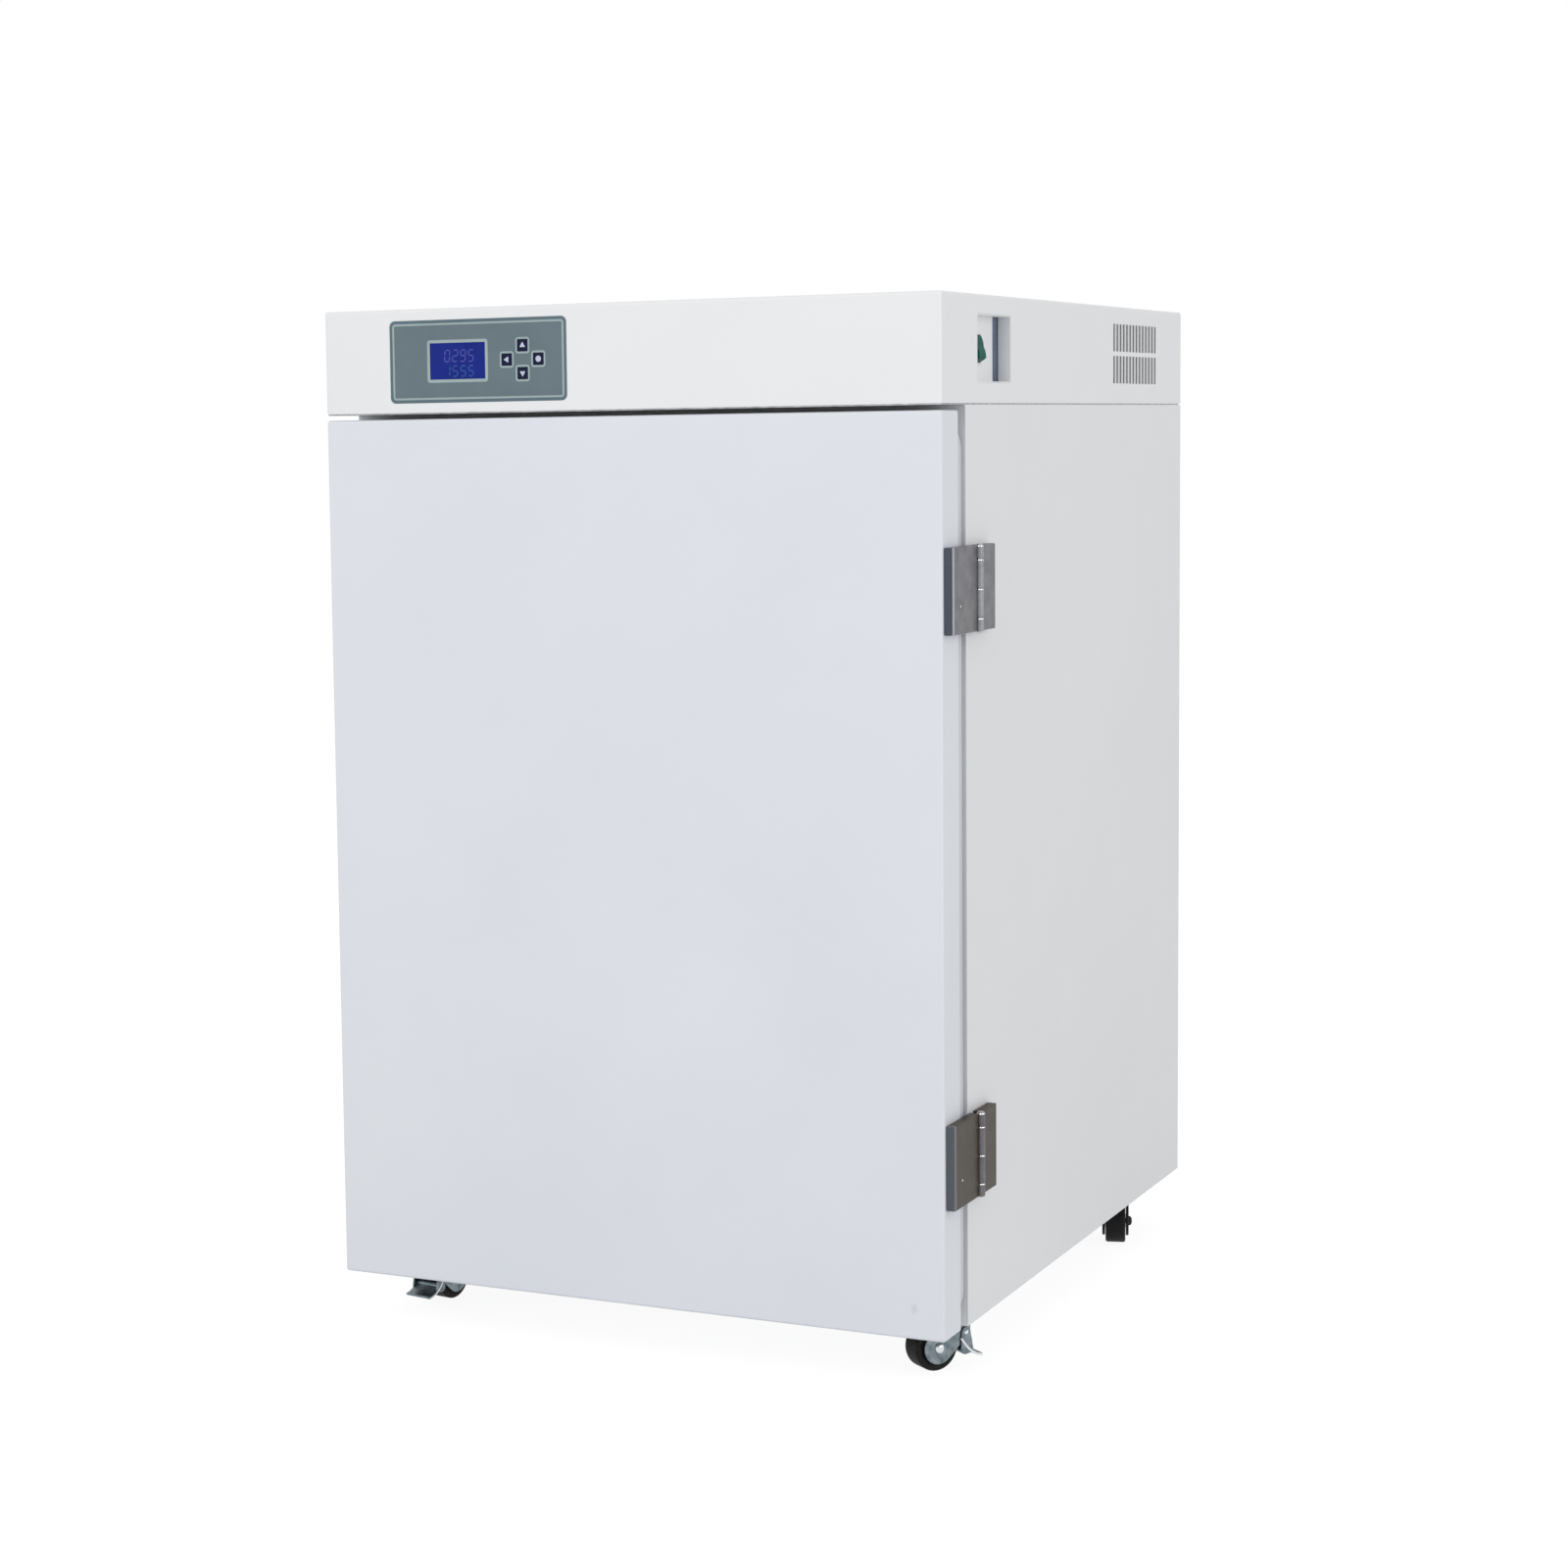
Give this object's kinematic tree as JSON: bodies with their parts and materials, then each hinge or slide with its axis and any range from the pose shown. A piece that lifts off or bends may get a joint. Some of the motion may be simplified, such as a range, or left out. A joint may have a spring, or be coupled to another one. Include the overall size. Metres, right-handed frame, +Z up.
{
  "type": "laboratory incubator",
  "caption": "Tall white floor incubator on swivel casters: side-hung insulated door over an inner glass door, wire shelves in a steel chamber, and a control panel in the head.",
  "frame": {"origin": "on the floor, under the middle of the outline", "axes": "+Z up, -Y out of the front door, +X to the hinge side on the right when seen from the front"},
  "size_m": [0.6942, 0.808, 1.08],
  "materials": {
    "white_paint": "satin powder coat",
    "door_paint": "satin powder coat",
    "zinc": "zinc plated",
    "stainless": "brushed",
    "wire": "polished",
    "foam": "cellular",
    "gasket": "soft",
    "seal": "silicone",
    "inner_plastic": "vacuum formed",
    "hinge_metal": "grey lacquer",
    "pin_steel": "ground",
    "glass": "clear",
    "clip_metal": "polished",
    "panel_plastic": "fine texture",
    "window": "clear over a lit display",
    "key_plastic": "satin",
    "board": "lacquered laminate",
    "core_steel": "laminated",
    "terminal_plastic": "moulded",
    "black_plastic": "moulded",
    "recess_steel": "satin powder coat",
    "switch_green": "translucent",
    "tyre": "smooth"
  },
  "bodies": {
    "cabinet": {"left_side_panel": "white_paint", "right_side_panel": "white_paint", "back_panel": "white_paint", "head_cover": "white_paint", "front_frame": "white_paint", "base_pan": "zinc", "deck_plate": "zinc", "back_screws": "zinc", "caster_plates": "zinc", "caster_bolts": "zinc", "chamber_liner": "stainless", "shelf_rails": "stainless", "duct_baffle": "stainless", "heater": "stainless", "temperature_probe": "stainless", "shelf_lower": "wire", "shelf_middle": "wire", "shelf_upper": "wire", "insulation": "foam", "mouth_seal": "seal", "hinge_upper_cabinet_leaf": "hinge_metal", "hinge_lower_cabinet_leaf": "hinge_metal", "hinge_upper_pin": "pin_steel", "hinge_lower_pin": "pin_steel", "control_panel": "panel_plastic", "display_window": "window", "controller_board": "board", "transformer": "core_steel", "fan_motor": "core_steel", "terminal_block": "terminal_plastic", "power_inlet": "black_plastic", "switch_body": "black_plastic", "switch_recess": "recess_steel"},
    "door": {"door_pan": "door_paint", "door_inner_panel": "inner_plastic", "door_insulation": "foam", "door_gasket": "gasket", "hinge_upper_door_leaf": "hinge_metal", "hinge_lower_door_leaf": "hinge_metal"},
    "glass": {"glass_door": "glass", "glass_hinge_clips": "clip_metal", "glass_pull": "clip_metal"},
    "fan": {"fan_rotor": "core_steel"},
    "rocker": {"switch_rocker": "switch_green"},
    "key_up_body": {"key_up": "key_plastic"},
    "key_down_body": {"key_down": "key_plastic"},
    "key_left_body": {"key_left": "key_plastic"},
    "key_right_body": {"key_right": "key_plastic"},
    "fork_fl": {"caster_fl_fork": "zinc"},
    "wheel_fl": {"caster_fl_wheel": "tyre"},
    "fork_fr": {"caster_fr_fork": "zinc"},
    "wheel_fr": {"caster_fr_wheel": "tyre"},
    "fork_rl": {"caster_rl_fork": "zinc"},
    "wheel_rl": {"caster_rl_wheel": "tyre"},
    "fork_rr": {"caster_rr_fork": "zinc"},
    "wheel_rr": {"caster_rr_wheel": "tyre"},
    "lever_fl": {"brake_lever_fl": "zinc"},
    "lever_fr": {"brake_lever_fr": "zinc"}
  },
  "joints": [
    {"name": "door_swing", "type": "hinge", "parent": "cabinet", "child": "door", "pos_m": [0.34287, -0.327, 0.5], "axis": [0, 0, 1], "range_deg": [0, 170]},
    {"name": "glass_door_swing", "type": "hinge", "parent": "cabinet", "child": "glass", "pos_m": [0.26787, -0.319, 0.515], "axis": [0, 0, 1], "range_deg": [0, 90]},
    {"name": "fan_spin", "type": "hinge", "parent": "cabinet", "child": "fan", "pos_m": [-0.00713, 0.2, 0.515], "axis": [0, 1, 0], "continuous": true},
    {"name": "switch_rock", "type": "hinge", "parent": "cabinet", "child": "rocker", "pos_m": [0.31888, -0.275, 1.0275], "axis": [0, 1, 0], "range_deg": [0, 28]},
    {"name": "key_up_press", "type": "slide", "parent": "cabinet", "child": "key_up_body", "axis": [0, 1, 0], "range_m": [0, 0.0005], "stiffness_N_per_m": 400},
    {"name": "key_down_press", "type": "slide", "parent": "cabinet", "child": "key_down_body", "axis": [0, 1, 0], "range_m": [0, 0.0005], "stiffness_N_per_m": 400},
    {"name": "key_left_press", "type": "slide", "parent": "cabinet", "child": "key_left_body", "axis": [0, 1, 0], "range_m": [0, 0.0005], "stiffness_N_per_m": 400},
    {"name": "key_right_press", "type": "slide", "parent": "cabinet", "child": "key_right_body", "axis": [0, 1, 0], "range_m": [0, 0.0005], "stiffness_N_per_m": 400},
    {"name": "swivel_fl", "type": "hinge", "parent": "cabinet", "child": "fork_fl", "pos_m": [-0.30712, -0.282, 0.06], "axis": [0, 0, 1], "continuous": true},
    {"name": "wheel_fl_roll", "type": "hinge", "parent": "fork_fl", "child": "wheel_fl", "pos_m": [-0.3033, -0.26033, 0.025], "axis": [0.9848, -0.1736, 0], "continuous": true},
    {"name": "brake_fl_release", "type": "hinge", "parent": "fork_fl", "child": "lever_fl", "pos_m": [-0.30869, -0.29086, 0.038], "axis": [-0.9848, 0.1736, 0], "range_deg": [0, 26]},
    {"name": "swivel_fr", "type": "hinge", "parent": "cabinet", "child": "fork_fr", "pos_m": [0.29287, -0.282, 0.06], "axis": [0, 0, 1], "continuous": true},
    {"name": "wheel_fr_roll", "type": "hinge", "parent": "fork_fr", "child": "wheel_fr", "pos_m": [0.27964, -0.29957, 0.025], "axis": [-0.7986, 0.6018, 0], "continuous": true},
    {"name": "brake_fr_release", "type": "hinge", "parent": "fork_fr", "child": "lever_fr", "pos_m": [0.29829, -0.27481, 0.038], "axis": [0.7986, -0.6018, 0], "range_deg": [0, 26]},
    {"name": "swivel_rl", "type": "hinge", "parent": "cabinet", "child": "fork_rl", "pos_m": [-0.30712, 0.284, 0.06], "axis": [0, 0, 1], "continuous": true},
    {"name": "wheel_rl_roll", "type": "hinge", "parent": "fork_rl", "child": "wheel_rl", "pos_m": [-0.31745, 0.30342, 0.025], "axis": [0.8829, 0.4695, 0], "continuous": true},
    {"name": "swivel_rr", "type": "hinge", "parent": "cabinet", "child": "fork_rr", "pos_m": [0.29287, 0.284, 0.06], "axis": [0, 0, 1], "continuous": true},
    {"name": "wheel_rr_roll", "type": "hinge", "parent": "fork_rr", "child": "wheel_rr", "pos_m": [0.29931, 0.26296, 0.025], "axis": [-0.9563, -0.2924, 0], "continuous": true}
  ],
  "couplings": [
    {"joint": "glass_door_swing", "follows": "door_swing", "ratio": 0.52941}
  ]
}
